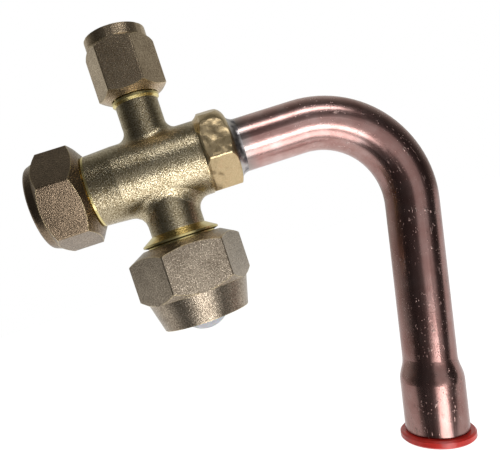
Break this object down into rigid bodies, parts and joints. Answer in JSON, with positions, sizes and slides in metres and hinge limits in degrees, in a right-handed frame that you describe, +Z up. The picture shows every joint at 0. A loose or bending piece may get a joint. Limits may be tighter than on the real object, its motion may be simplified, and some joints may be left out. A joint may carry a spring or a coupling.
{
  "type": "refrigerant service valve",
  "caption": "Forged brass angle service valve with capped stem, charging port with core, flare nut and a bent, swaged copper tube.",
  "frame": {"origin": "centre of the flare port's nose", "axes": "+Z up through both ports to the service port, +X along the barrel from the stem cap to the tube, -Y towards the hexagon flat of the collar"},
  "size_m": [0.1127, 0.0318, 0.1443],
  "materials": {
    "forged_brass": "blasted forging with turned ends",
    "blasted_brass": "blasted",
    "tan_brass": "blasted",
    "turned_brass": "turned",
    "black_rubber": "moulded",
    "spring_steel": "oiled",
    "white_plastic": "satin",
    "pale_plastic": "satin, slightly translucent",
    "copper": "drawn, lightly scratched copper",
    "braze_metal": "solidified filler",
    "red_plastic": "moulded"
  },
  "bodies": {
    "valve": {"valve_body": "forged_brass", "copper_tube": "copper", "braze_ring": "braze_metal", "stem_retaining_ring": "spring_steel", "core_body": "turned_brass", "core_body_seal": "white_plastic", "core_spring": "spring_steel"},
    "stem_rings": {"stem_o_ring_outer": "black_rubber", "stem_o_ring_inner": "black_rubber"},
    "stem": {"stem": "turned_brass"},
    "stem_cap_gasket": {"stem_cap_gasket": "white_plastic"},
    "stem_cap": {"stem_cap": "blasted_brass"},
    "service_cap_seal": {"service_cap_seal": "black_rubber"},
    "service_cap": {"service_cap": "blasted_brass"},
    "core_pin": {"core_pin": "turned_brass", "core_collar": "spring_steel", "core_poppet_seal": "black_rubber"},
    "flare_bonnet": {"flare_bonnet": "pale_plastic"},
    "flare_nut": {"flare_nut": "tan_brass"},
    "tube_plug": {"tube_plug": "red_plastic"}
  },
  "joints": [
    {"name": "stem_cap_travel", "type": "slide", "parent": "valve", "child": "stem_cap_gasket", "axis": [-1, 0, 0], "range_m": [0, 0.012]},
    {"name": "stem_cap_turn", "type": "hinge", "parent": "stem_cap_gasket", "child": "stem_cap", "pos_m": [-0.0277, 0, 0.0378], "axis": [-1, 0, 0], "range_deg": [0, 2885]},
    {"name": "stem_travel", "type": "slide", "parent": "valve", "child": "stem_rings", "axis": [-1, 0, 0], "range_m": [0, 0.0065]},
    {"name": "stem_turn", "type": "hinge", "parent": "stem_rings", "child": "stem", "pos_m": [-0.01, 0, 0.0378], "axis": [-1, 0, 0], "range_deg": [0, 2345]},
    {"name": "service_cap_travel", "type": "slide", "parent": "valve", "child": "service_cap_seal", "axis": [0, 0, 1], "range_m": [0, 0.0127]},
    {"name": "service_cap_turn", "type": "hinge", "parent": "service_cap_seal", "child": "service_cap", "pos_m": [0, 0, 0.069], "axis": [0, 0, 1], "range_deg": [0, 3605]},
    {"name": "flare_nut_travel", "type": "slide", "parent": "valve", "child": "flare_bonnet", "axis": [0, 0, -1], "range_m": [0, 0.01451]},
    {"name": "flare_nut_turn", "type": "hinge", "parent": "flare_bonnet", "child": "flare_nut", "pos_m": [0, 0, 0.005], "axis": [0, 0, -1], "range_deg": [0, 2885]},
    {"name": "core_pin_press", "type": "slide", "parent": "valve", "child": "core_pin", "axis": [0, 0, -1], "range_m": [0, 0.0012], "stiffness_N_per_m": 400, "springref_m": -0.002, "deforming": ["core_spring"]},
    {"name": "tube_plug_pull", "type": "slide", "parent": "valve", "child": "tube_plug", "axis": [-0.2079, 0, -0.9781], "range_m": [0, 0.014]}
  ],
  "couplings": [
    {"joint": "stem_cap_turn", "follows": "stem_cap_travel", "rad_per_m": 4188.8},
    {"joint": "stem_turn", "follows": "stem_travel", "rad_per_m": 6283.2},
    {"joint": "service_cap_turn", "follows": "service_cap_travel", "rad_per_m": 4947.4},
    {"joint": "flare_nut_turn", "follows": "flare_nut_travel", "rad_per_m": 3463.7}
  ]
}
